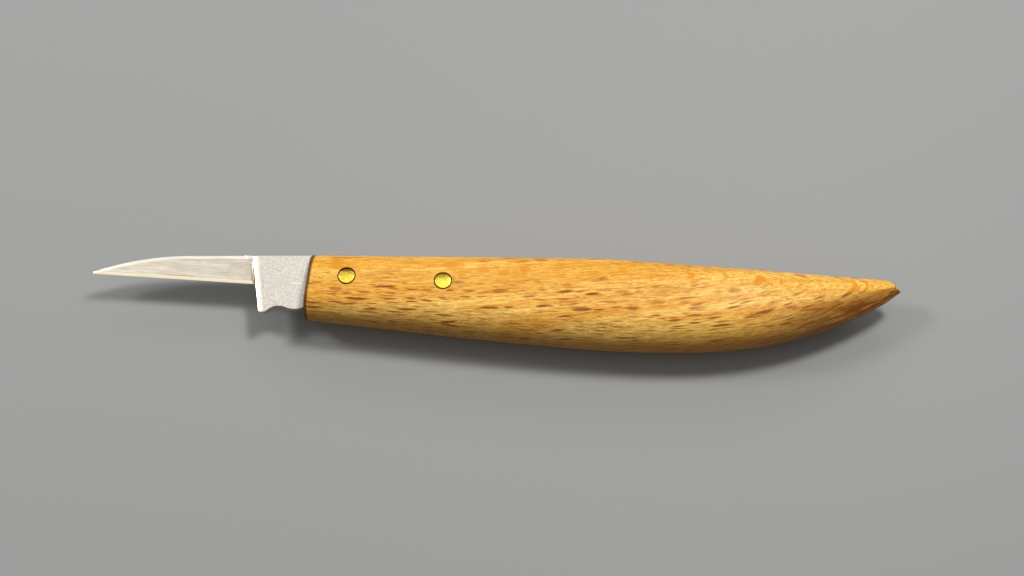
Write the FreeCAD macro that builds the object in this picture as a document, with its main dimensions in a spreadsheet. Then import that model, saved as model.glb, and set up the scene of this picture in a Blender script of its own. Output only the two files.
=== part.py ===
import FreeCAD, Part
import Sketcher
import math
import os

# A fixed-blade whittling knife, lying on its side.
# Drafting frame: X runs along the knife, 0 at the front of the handle, with the butt at +X and the
# point at -X. +Y is towards the spine. Z = 0 is the middle plane of the blade, and +Z is up.
# The last step moves the whole knife, so that its origin is the bottom centre of its box.

DIMENSIONS = {
    # blade
    "stock_thickness": (1.6, "thickness of the ricasso"),
    "spine_line": (7.86, "height of the straight spine over the X axis"),
    "tip_x": (-49.8, "point of the blade"),
    "tip_low": (3.68, "height of the edge at the point"),
    "tip_high": (4.12, "height of the spine at the point"),
    "arc_start_x": (-27.75, "where the spine starts to curve down"),
    "spine_radius": (66.9, "radius of that curve"),
    "shoulder_x": (-13.15, "grinding shoulder where it meets the height shoulder_y"),
    "shoulder_y": (7.2, "that height"),
    "shoulder_lean": (7.7, "lean of the shoulder and of the ricasso's front, degrees"),
    "heel_y": (1.15, "height of the edge where it meets the ricasso"),
    "ramp_length": (1.7, "length of the ramp ground on the shoulder"),
    "ramp_drop": (0.2, "how far the ramp goes down"),
    "ground_spine": (1.15, "thickness of the ground blade at its spine"),
    "ground_edge": (0.4, "thickness of the ground blade over the edge bevel"),
    "edge_bevel": (0.6, "height of the edge bevel"),
    "edge_land": (0.04, "thickness left at the cutting edge"),
    "spine_bevel": (0.62, "height of the bevel along the blade's spine"),
    "spine_bevel_drop": (0.12, "how far that bevel goes down"),
    # ricasso and tang
    "front_corner_y": (-5.1, "foot of the ricasso's straight front"),
    "front_lobe_x": (-10.7, "lowest place of the front lobe"),
    "front_lobe_y": (-5.8, "and its height"),
    "hollow_front_x": (-9.3, "hollow under the ricasso, front end"),
    "hollow_front_y": (-5.35, "and its height"),
    "hollow_rear_x": (-5.4, "hollow, rear end"),
    "hollow_rear_y": (-4.6, "and its height"),
    "rear_lobe_x": (-1.4, "rear end of the rear lobe"),
    "rear_lobe_y": (-4.8, "and its height"),
    "corner_radius": (0.75, "rounding of the ricasso's lower front corner"),
    "front_lobe_radius": (2.0, "front lobe"),
    "hollow_radius": (3.6, "hollow"),
    "rear_lobe_radius": (5.0, "rear lobe"),
    "tang_thickness": (1.4, "thickness of the tang"),
    "tang_length": (38.0, "length of the tang inside the handle"),
    "tang_low_x": (-0.6, "where the ricasso's underside meets the tang's lower side"),
    "tang_low_y": (-4.05, "and its height"),
    "tang_end_y": (-3.4, "lower side of the tang at its end"),
    # handle
    "handle_length": (135.0, "front to butt"),
    "front_slant": (6.5, "lean of the front end, degrees"),
    "front_round": (0.25, "rounding of the front edge"),
    "spine_front": (7.84, "height of the handle's spine at its front"),
    "spine_fall": (0.0125, "slope of the spine along the grip"),
    "spine_butt_fall": (0.0765, "slope of the spine along the butt"),
    "spine_break_x": (66.3, "where the slope changes"),
    "spine_break_blend": (1.5, "softness of that change"),
    "belly_front": (-7.38, "height of the belly at the front"),
    "belly_fall": (0.124, "slope of the belly along the grip"),
    "belly_rise": (1.17, "slope that the belly turns towards"),
    "belly_turn_x": (128.25, "middle of that turn"),
    "belly_turn_blend": (20.2, "softness of that turn"),
    "swell_x": (80.0, "where the handle is thickest"),
    "swell_half": (8.4, "half its thickness there"),
    "grip_taper": (1.8, "power of the thinning from there to the front"),
    "butt_taper": (2.4, "power of the thinning from there to the butt"),
    "front_half": (6.3, "half its thickness at the front"),
    "butt_half": (3.0, "half its thickness near the butt"),
    "butt_x": (130.0, "where that is measured"),
    "nose_x": (131.1, "where the butt's rounding starts"),
    "nose_y": (-0.94, "height of the butt's point"),
    "widest_drop": (0.5, "how far the widest line lies below the middle at the front"),
    "side_fullness": (0.48, "how flat the sides are: 0 gives an ellipse, 0.5 a side with no bow"),
    "crease_x": (104.0, "where the crease along the butt's sides starts"),
    "crease": (0.85, "sharpness of that crease at the butt"),
    # kerf and pins
    "kerf_width": (1.6, "saw kerf that holds the tang"),
    "kerf_length": (38.6, "its length"),
    "kerf_floor_y": (-4.15, "its floor"),
    "pin_diameter": (4.0, "brass rod"),
    "tang_hole": (4.1, "hole in the tang for a pin"),
    "front_pin_x": (9.1, "place of the front pin"),
    "front_pin_y": (0.9, "and its height"),
    "rear_pin_x": (30.8, "place of the rear pin"),
    "rear_pin_y": (-0.6, "and its height"),
}

# Places of the sections that the handle is lofted through, as shares of its length.
LOFT_SHARES = (-0.03, 0.03, 0.12, 0.24, 0.36, 0.44, 0.49, 0.54, 0.62, 0.7, 0.77, 0.83, 0.88,
               0.92, 0.95, 0.971, 0.983, 0.991, 0.996, 0.999)
ARCH_SPANS = 12        # spans of the curve on each side of a section
CLEAR = 20.0           # how far cutting blocks reach past the knife
OVERLAP = 0.02         # how far two cuts that meet run into each other
CONE_HALF = 4.0        # half the height of the cone that shapes the curved bevel
X_AXIS, Y_AXIS, Z_AXIS = FreeCAD.Vector(1, 0, 0), FreeCAD.Vector(0, 1, 0), FreeCAD.Vector(0, 0, 1)

doc = FreeCAD.newDocument("whittling_knife")
sheet = doc.addObject("Spreadsheet::Sheet", "Dims")
for row, (alias, (value, note)) in enumerate(DIMENSIONS.items(), start=1):
    sheet.set(f"A{row}", note)
    sheet.set(f"B{row}", str(value))
    sheet.setAlias(f"B{row}", alias)
doc.recompute()


def dim(alias):
    """A driving dimension, read from the sheet."""
    return float(sheet.get(alias))


# ---------------------------------------------------------------- helpers

def block(name, length, width, height, base, turn=0.0, tilt_axis=None, tilt=0.0):
    """A box whose sizes are expressions. turn is about Z, and tilt then about the box's own axis."""
    box = doc.addObject("Part::Box", name)
    box.setExpression("Length", length)
    box.setExpression("Width", width)
    box.setExpression("Height", height)
    rotation = FreeCAD.Rotation(Z_AXIS, turn)
    if tilt_axis is not None:
        rotation = rotation * FreeCAD.Rotation(tilt_axis, tilt)
    box.Placement = FreeCAD.Placement(base, rotation)
    return box


def rod(name, diameter, x, y):
    """A rod through the handle, along Z."""
    cylinder = doc.addObject("Part::Cylinder", name)
    cylinder.setExpression("Radius", f"{diameter} / 2")
    cylinder.setExpression("Height", "Dims.swell_half * 4")
    cylinder.setExpression("Placement.Base.x", x)
    cylinder.setExpression("Placement.Base.y", y)
    cylinder.setExpression("Placement.Base.z", "-Dims.swell_half * 2")
    return cylinder


def boolean(kind, name, *shapes):
    """A Part boolean: Cut and Common take two shapes, MultiFuse takes several."""
    made = doc.addObject(f"Part::{kind}", name)
    if kind == "MultiFuse":
        made.Shapes = list(shapes)
    else:
        made.Base, made.Tool = shapes
    return made


def mirrored(source):
    """The same shape on the other side of the blade's middle plane."""
    twin = doc.addObject("Part::Mirroring", source.Name + "_below")
    twin.Source = source
    twin.Base = FreeCAD.Vector(0, 0, 0)
    twin.Normal = Z_AXIS
    return twin


# ---------------------------------------------------------------- handle's outer form

def soft_step(x, middle, blend):
    """0 well before middle and x - middle well after it, with a soft corner between."""
    return blend * math.log1p(math.exp((x - middle) / blend))


def nose_share(x):
    """1 along the handle, falling to 0 at the butt's point along a quarter ellipse."""
    run = max(0.0, (x - dim("nose_x")) / (dim("handle_length") - dim("nose_x")))
    return math.sqrt(1.0 - run * run)


def spine_y(x):
    line = dim("spine_front") - dim("spine_fall") * x
    change = dim("spine_butt_fall") - dim("spine_fall")
    line -= change * soft_step(x, dim("spine_break_x"), dim("spine_break_blend"))
    return dim("nose_y") + (line - dim("nose_y")) * nose_share(x)


def belly_y(x):
    line = dim("belly_front") - dim("belly_fall") * x
    change = dim("belly_fall") + dim("belly_rise")
    line += change * soft_step(x, dim("belly_turn_x"), dim("belly_turn_blend"))
    return dim("nose_y") + (line - dim("nose_y")) * nose_share(x)


def half_thickness(x):
    swell = dim("swell_half")
    if x < dim("swell_x"):
        run = (dim("swell_x") - x) / dim("swell_x")
        half = swell - (swell - dim("front_half")) * run ** dim("grip_taper")
    else:
        run = (x - dim("swell_x")) / (dim("butt_x") - dim("swell_x"))
        half = swell - (swell - dim("butt_half")) * run ** dim("butt_taper")
    return half * nose_share(x)


def widest_y(x):
    """Height of the line along which the handle is widest."""
    drop = dim("widest_drop") * max(0.0, 1.0 - x / dim("swell_x"))
    return (spine_y(x) + belly_y(x)) / 2.0 - drop


def crease_at(x):
    """Sharpness of the crease: 0 along the grip, growing towards the butt."""
    run = (x - dim("crease_x")) / (dim("handle_length") - dim("crease_x"))
    return dim("crease") * max(0.0, run)


def arch(x, height):
    """Half a section: points from one side over its top, or under its bottom, to the other side.
    They lie on half an ellipse with its sides flattened, and a crease moves its centre past the
    widest line."""
    crease = crease_at(x)
    start = math.asin(crease / (1.0 + crease))
    points = []
    for i in range(ARCH_SPANS + 1):
        turn = start + (math.pi - 2.0 * start) * i / ARCH_SPANS
        y = widest_y(x) + height * ((1.0 + crease) * math.sin(turn) - crease)
        beside = math.sin(2.0 * turn) ** 2 - math.sin(2.0 * start) ** 2
        fuller = 1.0 + dim("side_fullness") * beside / 4.0
        z = half_thickness(x) * fuller * math.cos(turn) / math.cos(start)
        points.append(FreeCAD.Vector(x, y, z))
    return points


def section(x):
    """The handle's cross-section: an arch up to the spine, and one down to the belly."""
    upper, lower = Part.BSplineCurve(), Part.BSplineCurve()
    upper.interpolate(arch(x, spine_y(x) - widest_y(x)))
    lower.interpolate(arch(x, belly_y(x) - widest_y(x))[::-1])
    return Part.Wire([upper.toShape(), lower.toShape()])


def make_handle_form():
    """The handle's freeform outside, which runs on a little past its front end."""
    form = doc.addObject("Part::Feature", "handle_form")
    stations = [share * dim("handle_length") for share in LOFT_SHARES]
    form.Shape = Part.makeLoft([section(x) for x in stations], True, False)
    return form


# ---------------------------------------------------------------- blade's outline

BLADE_CORNERS = (
    # name, x, y, and the radius of the arc to the next corner: None for a line, minus for a hollow
    ("tip_low", "Dims.tip_x", "Dims.tip_low", None),
    ("tip_high", "Dims.tip_x", "Dims.tip_high", "Dims.spine_radius"),
    ("arc_end", "Dims.arc_start_x", "Dims.spine_line", None),
    ("tang_top", "Dims.tang_length", "Dims.spine_line", None),
    ("tang_end", "Dims.tang_length", "Dims.tang_end_y", None),
    ("tang_low", "Dims.tang_low_x", "Dims.tang_low_y", None),
    ("rear_lobe", "Dims.rear_lobe_x", "Dims.rear_lobe_y", "Dims.rear_lobe_radius"),
    ("hollow_rear", "Dims.hollow_rear_x", "Dims.hollow_rear_y", "-Dims.hollow_radius"),
    ("hollow_front", "Dims.hollow_front_x", "Dims.hollow_front_y", "Dims.front_lobe_radius"),
    ("front_lobe", "Dims.front_lobe_x", "Dims.front_lobe_y", "Dims.corner_radius"),
    ("front_corner", "Dims.shoulder_x + (Dims.shoulder_y - Dims.front_corner_y)"
     " * tan(Dims.shoulder_lean * 1 deg)", "Dims.front_corner_y", None),
    ("heel", "Dims.shoulder_x + (Dims.shoulder_y - Dims.heel_y) * tan(Dims.shoulder_lean * 1 deg)",
     "Dims.heel_y", None),
)


def worth(sketch, expression):
    return float(sketch.evalExpression(expression))


def arc_middle(start, end, radius):
    """Middle of the arc from start to end, which bulges to the left of the way for a plus radius."""
    chord = end - start
    sagitta = abs(radius) - math.sqrt(radius * radius - chord.Length ** 2 / 4.0)
    left = FreeCAD.Vector(-chord.y, chord.x, 0) / chord.Length
    return (start + end) / 2.0 + left * math.copysign(sagitta, radius)


def keep(sketch, constraint, name, expression):
    """Adds a named constraint whose value follows an expression."""
    index = sketch.addConstraint(constraint)
    sketch.renameConstraint(index, name)
    sketch.setExpression(f"Constraints.{name}", expression)


def draw_side(sketch, start, end, bend):
    """One side of the outline. Returns its index, its first point's number and its last one's."""
    if bend is None:
        side = sketch.addGeometry(Part.LineSegment(start, end), False)
    else:
        middle = arc_middle(start, end, worth(sketch, bend))
        side = sketch.addGeometry(Part.Arc(start, middle, end), False)
    starts_there = sketch.getPoint(side, 1).distanceToPoint(start) < 1e-6
    return (side, 1, 2) if starts_there else (side, 2, 1)


def draw_outline(sketch, corners):
    """Draws a closed outline whose corners and radii follow the sheet."""
    places = [FreeCAD.Vector(worth(sketch, x), worth(sketch, y), 0) for _, x, y, _ in corners]
    sides = [draw_side(sketch, place, places[(i + 1) % len(corners)], corners[i][3])
             for i, place in enumerate(places)]
    for i, (name, x, y, bend) in enumerate(corners):
        side, first, last = sides[i]
        after, after_first, _ = sides[(i + 1) % len(sides)]
        sketch.addConstraint(Sketcher.Constraint("Coincident", side, last, after, after_first))
        keep(sketch, Sketcher.Constraint("DistanceX", side, first, places[i].x), name + "_x", x)
        keep(sketch, Sketcher.Constraint("DistanceY", side, first, places[i].y), name + "_y", y)
        if bend is not None:
            radius = abs(worth(sketch, bend))
            keep(sketch, Sketcher.Constraint("Radius", side, radius), name + "_bend", f"abs({bend})")


def make_blade_plate():
    """Blade, ricasso and tang as one plate of the ricasso's thickness."""
    body = doc.addObject("PartDesign::Body", "blade_plate")
    outline = body.newObject("Sketcher::SketchObject", "blade_outline")
    plane = next(f for f in body.Origin.OriginFeatures if f.Role == "XY_Plane")
    outline.AttachmentSupport = [(plane, "")]
    outline.MapMode = "FlatFace"
    draw_outline(outline, BLADE_CORNERS)
    pad = body.newObject("PartDesign::Pad", "plate")
    pad.Profile = outline
    pad.Midplane = True
    pad.setExpression("Length", "Dims.stock_thickness")
    return body


# ---------------------------------------------------------------- blade's grinding

def shoulder_at(y):
    """A point of the shoulder's line, in the middle plane."""
    x = dim("shoulder_x") + (dim("shoulder_y") - y) * math.tan(math.radians(dim("shoulder_lean")))
    return FreeCAD.Vector(x, y, 0)


def make_spine_bevel(face_turn, face_tilt, face_base):
    """The bevel on the upper side along the spine: a flat one on its straight part, and a cone
    whose axis is square to the ground face on its curved part."""
    on_face = FreeCAD.Rotation(Z_AXIS, face_turn) * FreeCAD.Rotation(X_AXIS, face_tilt)
    normal = on_face.multVec(Z_AXIS)

    def on_ground_face(x, y):
        flat = FreeCAD.Vector(x, y, 0)
        return flat + Z_AXIS * ((face_base - flat).dot(normal) / normal.z)

    drop, width = dim("spine_bevel_drop"), dim("spine_bevel")
    arc_start, spine = dim("arc_start_x"), dim("spine_line")
    tilt = math.degrees(math.atan2(drop, width))
    straight = block("straight_bevel", f"{2 * CLEAR}", f"{CLEAR}", f"{CLEAR}", FreeCAD.Vector())
    turned = on_face * FreeCAD.Rotation(Z_AXIS, -face_turn) * FreeCAD.Rotation(X_AXIS, -tilt)
    straight_base = on_ground_face(arc_start - OVERLAP, spine - width)
    straight.Placement = FreeCAD.Placement(straight_base, turned)
    corner = FreeCAD.Vector(arc_start - 2 * CLEAR, spine - CLEAR, -CLEAR)
    zone = block("curved_zone", f"{2 * CLEAR}", f"{2 * CLEAR}", f"{2 * CLEAR}", corner)
    cone = doc.addObject("Part::Cone", "bevel_cone")
    slope = "Dims.spine_bevel / Dims.spine_bevel_drop"
    face_radius = f"(Dims.spine_radius - Dims.spine_bevel) / {math.cos(math.radians(face_tilt))}"
    cone.setExpression("Radius1", f"{face_radius} + {CONE_HALF} * {slope}")
    cone.setExpression("Radius2", f"{face_radius} - {CONE_HALF} * {slope}")
    cone.Height = 2 * CONE_HALF
    centre = on_ground_face(arc_start, spine - dim("spine_radius"))
    cone.Placement = FreeCAD.Placement(centre - normal * CONE_HALF, on_face)
    return straight, boolean("Cut", "curved_bevel", zone, cone)


def make_grinding():
    """What grinding takes off the upper side ahead of the ricasso: the long face and the edge
    bevel as far as the shoulder with the ramp on it, and then the two cuts of the spine's bevel."""
    heel = shoulder_at(dim("heel_y"))
    tip = FreeCAD.Vector(dim("tip_x"), dim("tip_low"), 0)
    along = (heel - tip).normalize()
    up = FreeCAD.Vector(-along.y, along.x, 0)
    edge_turn = math.degrees(math.atan2(along.y, along.x))
    low_half, high_half = dim("ground_edge") / 2.0, dim("ground_spine") / 2.0
    face_height = dim("spine_line") - dim("heel_y") - dim("edge_bevel")
    face_tilt = math.degrees(math.atan2(high_half - low_half, face_height))
    bevel_tilt = math.degrees(math.atan2(low_half - dim("edge_land") / 2.0, dim("edge_bevel")))
    face_base = tip - along * CLEAR + up * dim("edge_bevel") + Z_AXIS * low_half
    face = block("ground_face", f"{4 * CLEAR}", f"{CLEAR}", f"{CLEAR}", face_base,
                 edge_turn, X_AXIS, face_tilt)
    bevel_base = tip - along * CLEAR + Z_AXIS * dim("edge_land") / 2.0
    bevel = block("edge_bevel_cut", f"{4 * CLEAR}", "Dims.edge_bevel * 4", f"{CLEAR}", bevel_base,
                  edge_turn, X_AXIS, bevel_tilt)
    bevels = make_spine_bevel(edge_turn, face_tilt, face_base)
    lean = dim("shoulder_lean")
    across = FreeCAD.Rotation(Z_AXIS, lean).multVec(X_AXIS)
    down = FreeCAD.Rotation(Z_AXIS, lean).multVec(Y_AXIS) * -1.0
    shoulder_foot = shoulder_at(dim("heel_y")) + down * CLEAR
    reach = block("grinding_reach", f"{4 * CLEAR}", f"{2 * CLEAR}", f"{2 * CLEAR}",
                  shoulder_foot - across * 4 * CLEAR - Z_AXIS * CLEAR, lean)
    past = 5 * OVERLAP
    ramp_slope = dim("ramp_drop") / dim("ramp_length")
    ramp_low = dim("stock_thickness") / 2.0 - dim("ramp_drop") - past * ramp_slope
    ramp = block("ramp", "Dims.ramp_length * 1.5", f"{2 * CLEAR}", f"{CLEAR}",
                 shoulder_foot - across * past + Z_AXIS * ramp_low,
                 lean, Y_AXIS, -math.degrees(math.atan(ramp_slope)))
    faces = boolean("MultiFuse", "ground_faces", face, bevel)
    ground = boolean("Common", "ground_part", faces, reach)
    spine_bevels = [boolean("Common", cut.Name + "_part", cut, reach) for cut in bevels]
    return boolean("MultiFuse", "grinding", ground, ramp), spine_bevels


def behind_front(name, z_low, height):
    """A block behind the handle's slanted front plane, from z_low up."""
    turn = -dim("front_slant")
    base = FreeCAD.Rotation(Z_AXIS, turn).multVec(FreeCAD.Vector(0, -CLEAR, 0)) + Z_AXIS * z_low
    return block(name, "Dims.handle_length", f"{2 * CLEAR}", height, base, turn)


def make_blade(form, tang_holes):
    """The plate with its blade ground, its tang thinned, drilled and filed flush with the wood."""
    grinding, spine_bevels = make_grinding()
    thinning = behind_front("tang_thinning", dim("tang_thickness") / 2.0, "Dims.stock_thickness")
    slab = behind_front("tang_zone", -dim("stock_thickness"), "Dims.stock_thickness * 2")
    filed = boolean("Cut", "filed_flush", slab, form)
    waste = boolean("MultiFuse", "blade_waste", grinding, mirrored(grinding),
                    thinning, mirrored(thinning), filed, *tang_holes)
    steel = boolean("Cut", "ground_blade", make_blade_plate(), waste)
    for cut in spine_bevels:
        for side in (cut, mirrored(cut)):
            steel = boolean("Cut", side.Name + "_ground", steel, side)
    return steel


# ---------------------------------------------------------------- handle, pins and bedding

def make_rounded_form(form):
    """The handle's form cut off at its slanted front, with the front edge rounded."""
    zone = behind_front("handle_zone", -CLEAR, f"{2 * CLEAR}")
    cut = boolean("Common", "handle_cut_off", form, zone)
    doc.recompute()
    lean = FreeCAD.Rotation(Z_AXIS, -dim("front_slant"))
    normal = lean.multVec(FreeCAD.Vector(1, 0, 0))
    front_edges = [number for number, edge in enumerate(cut.Shape.Edges, start=1)
                   if all(abs(vertex.Point.dot(normal)) < 1e-3 for vertex in edge.Vertexes)]
    rounded = doc.addObject("Part::Fillet", "handle_rounded")
    rounded.Base = cut
    rounded.Edges = [(number, dim("front_round"), dim("front_round")) for number in front_edges]
    return rounded


def make_kerf():
    """The saw kerf: open at the handle's front and along its spine."""
    kerf = doc.addObject("Part::Box", "kerf")
    kerf.setExpression("Length", f"Dims.kerf_length + {CLEAR}")
    kerf.setExpression("Width", f"{CLEAR}")
    kerf.setExpression("Height", "Dims.kerf_width")
    kerf.setExpression("Placement.Base.x", f"-{CLEAR}")
    kerf.setExpression("Placement.Base.y", "Dims.kerf_floor_y")
    kerf.setExpression("Placement.Base.z", "-Dims.kerf_width / 2")
    return kerf


def move_to_origin(parts):
    """Moves every sub-part by one vector: the origin becomes the bottom centre of the knife's box."""
    box = Part.makeCompound([part.Shape for part in parts]).optimalBoundingBox(False, False)
    shift = FreeCAD.Vector(-box.Center.x, -box.Center.y, -box.ZMin)
    for part in parts:
        part.Placement = FreeCAD.Placement(shift, FreeCAD.Rotation())
    doc.recompute()
    print("drafting frame moved by", shift, "box", box.XLength, box.YLength, box.ZLength)


def check_all(parts):
    """Stops with a message if an object failed, or if a sub-part isn't one valid solid."""
    for obj in doc.Objects:
        if "Invalid" in obj.State or "Error" in obj.State:
            raise RuntimeError(f"{obj.Name} failed: {obj.State}")
    for part in parts:
        if part.Shape.isNull() or not part.Shape.isValid() or len(part.Shape.Solids) != 1:
            raise RuntimeError(f"{part.Label} is not one valid solid")
        print(f"{part.Label}: {part.Shape.Volume:.2f} cubic mm")


def main():
    form = make_handle_form()
    places = {end: (f"Dims.{end}_pin_x", f"Dims.{end}_pin_y") for end in ("front", "rear")}
    rods = [rod(f"{end}_rod", "Dims.pin_diameter", *place) for end, place in places.items()]
    holes = [rod(f"{end}_tang_hole", "Dims.tang_hole", *place) for end, place in places.items()]
    doc.recompute()
    blade = make_blade(form, holes)
    rounded = make_rounded_form(form)
    kerf = make_kerf()
    bored = boolean("MultiFuse", "handle_waste", kerf, *rods)
    handle = boolean("Cut", "handle", rounded, bored)
    front_pin = boolean("Common", "front_pin", rods[0], form)
    rear_pin = boolean("Common", "rear_pin", rods[1], form)
    kerf_space = boolean("Common", "kerf_space", rounded, kerf)
    steel = boolean("MultiFuse", "steel_and_pins", blade, *rods)
    bedding = boolean("Cut", "tang_bedding", kerf_space, steel)
    doc.recompute()
    parts = {"blade": blade, "handle": handle, "front_pin": front_pin, "rear_pin": rear_pin,
             "tang_bedding": bedding}
    for node, part in parts.items():
        part.Label = node
    check_all(parts.values())
    move_to_origin(parts.values())
    os.makedirs("parts", exist_ok=True)
    for node, part in parts.items():
        part.Shape.exportStep(f"parts/{node}.step")


main()
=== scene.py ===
import math
import bmesh
import bpy
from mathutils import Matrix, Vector, noise


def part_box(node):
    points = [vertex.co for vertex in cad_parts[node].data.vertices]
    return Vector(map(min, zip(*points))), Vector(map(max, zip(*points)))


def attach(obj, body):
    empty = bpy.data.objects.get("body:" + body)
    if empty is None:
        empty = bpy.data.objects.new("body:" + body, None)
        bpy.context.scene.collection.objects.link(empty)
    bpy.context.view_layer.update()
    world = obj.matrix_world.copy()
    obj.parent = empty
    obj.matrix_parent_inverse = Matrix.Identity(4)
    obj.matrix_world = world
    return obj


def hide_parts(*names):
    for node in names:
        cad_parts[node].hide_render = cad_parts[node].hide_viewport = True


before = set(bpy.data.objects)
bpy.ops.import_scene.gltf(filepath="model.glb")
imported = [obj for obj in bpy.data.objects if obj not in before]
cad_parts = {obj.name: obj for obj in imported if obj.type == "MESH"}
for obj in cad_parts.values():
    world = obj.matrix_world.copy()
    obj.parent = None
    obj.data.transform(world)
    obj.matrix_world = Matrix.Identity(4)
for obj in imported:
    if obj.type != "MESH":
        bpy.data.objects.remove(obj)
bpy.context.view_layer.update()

# A fixed-blade whittling knife lying on its side. Shapes are drafted in millimetres as the CAD
# drafts them: X = 0 at the handle's front, butt at +X, point at -X, +Y towards the spine, and
# Z = 0 in the blade's middle plane. DRAFT_ORIGIN is that frame's origin in the CAD's final frame.
MM = 0.001
TIP = Vector((-49.8, 3.68))
TIP_HIGH_Y = 4.12           # the spine's lowest height, over the point
SPINE_LINE = 7.86
blade_low, blade_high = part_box("blade")
DRAFT_ORIGIN = Vector((blade_low.x - TIP.x * MM,
                       blade_high.y - SPINE_LINE * MM,
                       (blade_low.z + blade_high.z) / 2))

# blade, ground part
ARC_START_X = -27.75        # where the straight spine ends and its arc down to the point begins
SPINE_RADIUS = 66.9
SHOULDER = Vector((-13.15, 7.2))
SHOULDER_LEAN = math.radians(7.7)
SHOULDER_BEND = 1.5         # how far the step runs ahead of the shoulder's line at the spine
SHOULDER_BEND_LOW_Y = SPINE_LINE - 1.9
SHOULDER_BEND_HIGH_Y = SPINE_LINE + 0.1
SHOULDER_BEND_EASE = 1.5
HEEL_Y = 1.15
HEEL_FILLET = 1.3
HEEL_HALF = 0.45            # half thickness of the short unsharpened length at the heel
HEEL_BLUNT_LENGTH = 1.2
EDGE_BEVEL = 0.6
EDGE_HALF = 0.02
GROUND_LOW_HALF = 0.2
GROUND_HIGH_HALF = 0.575
SPINE_BEVEL = 0.62
SPINE_BEVEL_DROP = 0.12

# ricasso and tang
STOCK_HALF = 0.8
RAMP_LENGTH = 1.7
RAMP_DROP = 0.2
RAMP_EASE = 1.7
STEP_FROM = -0.55           # the step up to the ricasso, measured from the shoulder's line
STEP_TO = 0.1
STEP_EASE = 1.6
STEP_WAVER = 0.04
GRINDING_END = 0.3          # behind this distance nothing of the ground blade is left
STEEL_WAVER = 0.006
TANG_HALF = 0.7
TANG_LOW = Vector((-0.6, -4.05))
TANG_END_Y = -3.4
TANG_LENGTH = 38.0
STEEL_ROUND = 0.12
TANG_HOLE_RADIUS = 2.05
TANG_TOOL_REACH = 3.0       # half the height of the cutters for the tang's holes

# handle
LENGTH = (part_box("handle")[1].x - DRAFT_ORIGIN.x) / MM
FRONT_SLANT = math.radians(6.5)
FRONT_SLANT_RUN = 12.0      # length behind the front over which the rings lose its slant
FRONT_ROUND = 0.25
TOP_FORWARD = 0.4           # how far the front's top corner stands ahead of the slanted plane
TOP_FORWARD_FROM_Y = 3.0
TOP_FORWARD_FULL_Y = 7.5
TOP_FORWARD_RUN = 8.0
NOSE_X = 131.1
NOSE_Y = -0.94
SPINE_FRONT_Y = 7.84        # the spine falls in a line, and more steeply behind its soft bend
SPINE_FALL = 0.0125
SPINE_BEND = 0.064
SPINE_BEND_X = 66.3
SPINE_BEND_BLEND = 1.5
BELLY_FRONT_Y = -7.38       # the belly falls in a line, and rises again behind its wide bend
BELLY_FALL = 0.124
BELLY_RISE = 1.294
BELLY_RISE_X = 128.25
BELLY_RISE_BLEND = 20.2
SWELL_X = 80.0
SWELL_HALF = 8.4
FRONT_THINNING = 2.1
FRONT_THINNING_POWER = 1.8
BUTT_THINNING = 5.4
BUTT_THINNING_RUN = 50.0
BUTT_THINNING_POWER = 2.4
WIDEST_DROP = 0.5           # how far the widest line lies under the middle at the front
CREASE_X = 104.0
CREASE = 0.85
FULLNESS = 0.48             # how flat the sides are: 0 gives an ellipse
KERF_HALF = 0.8
KERF_LENGTH = 38.6
KERF_FLOOR_Y = -4.15
KERF_TOOL_FRONT_X = -5.0    # the kerf's and the pin holes' cutters reach well past the wood
KERF_TOOL_TOP_Y = 20.0
PIN_TOOL_REACH = 12.0
PIN_RADIUS = 2.0
PIN_PLACES = {"front_pin": (9.1, 0.9), "rear_pin": (30.8, -0.6)}

# degrees beyond which an edge is drawn sharp
NEVER_SHARP = 180.0
WOOD_SHARP = 40.0
STEEL_SHARP = 24.0
BRASS_SHARP = 35.0


def place(x, y, z):
    """A drafted point in the CAD's final frame, in metres."""
    return DRAFT_ORIGIN + Vector((x, y, z)) * MM


def blend_step(low, high, value):
    """0 below low, 1 above high and a smooth rise between."""
    share = min(1.0, max(0.0, (value - low) / (high - low)))
    return share * share * (3.0 - 2.0 * share)


def lerp(a, b, share):
    """a at share 0 and b at share 1."""
    return a + (b - a) * share


# ---------------------------------------------------------------- handle's outer form

def soft_step(x, middle, blend):
    """0 well before middle and x - middle well after it, with a soft corner between."""
    return blend * math.log1p(math.exp((x - middle) / blend))


def nose_share(x):
    """1 along the handle, falling to 0 at the butt's point along a quarter ellipse."""
    run = min(1.0, max(0.0, (x - NOSE_X) / (LENGTH - NOSE_X)))
    return math.sqrt(1.0 - run * run)


def spine_y(x):
    """Height of the handle's spine: a line with a soft bend, closed by the rounded nose."""
    line = SPINE_FRONT_Y - SPINE_FALL * x - SPINE_BEND * soft_step(x, SPINE_BEND_X, SPINE_BEND_BLEND)
    return NOSE_Y + (line - NOSE_Y) * nose_share(x)


def belly_y(x):
    """Height of the handle's belly, made in the same way."""
    line = BELLY_FRONT_Y - BELLY_FALL * x + BELLY_RISE * soft_step(x, BELLY_RISE_X, BELLY_RISE_BLEND)
    return NOSE_Y + (line - NOSE_Y) * nose_share(x)


def half_thickness(x):
    """Half the thickness at the widest line: a swell that thins towards the front and the butt."""
    if x < SWELL_X:
        half = SWELL_HALF - FRONT_THINNING * ((SWELL_X - x) / SWELL_X) ** FRONT_THINNING_POWER
    else:
        half = SWELL_HALF - BUTT_THINNING * ((x - SWELL_X) / BUTT_THINNING_RUN) ** BUTT_THINNING_POWER
    return half * nose_share(x)


def widest_y(x):
    """Height of the line along which the handle is widest."""
    return (spine_y(x) + belly_y(x)) / 2.0 - WIDEST_DROP * max(0.0, 1.0 - x / SWELL_X)


def crease_at(x):
    """Sharpness of the crease: 0 along the grip, growing towards the butt."""
    return CREASE * max(0.0, (x - CREASE_X) / (LENGTH - CREASE_X))


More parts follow.
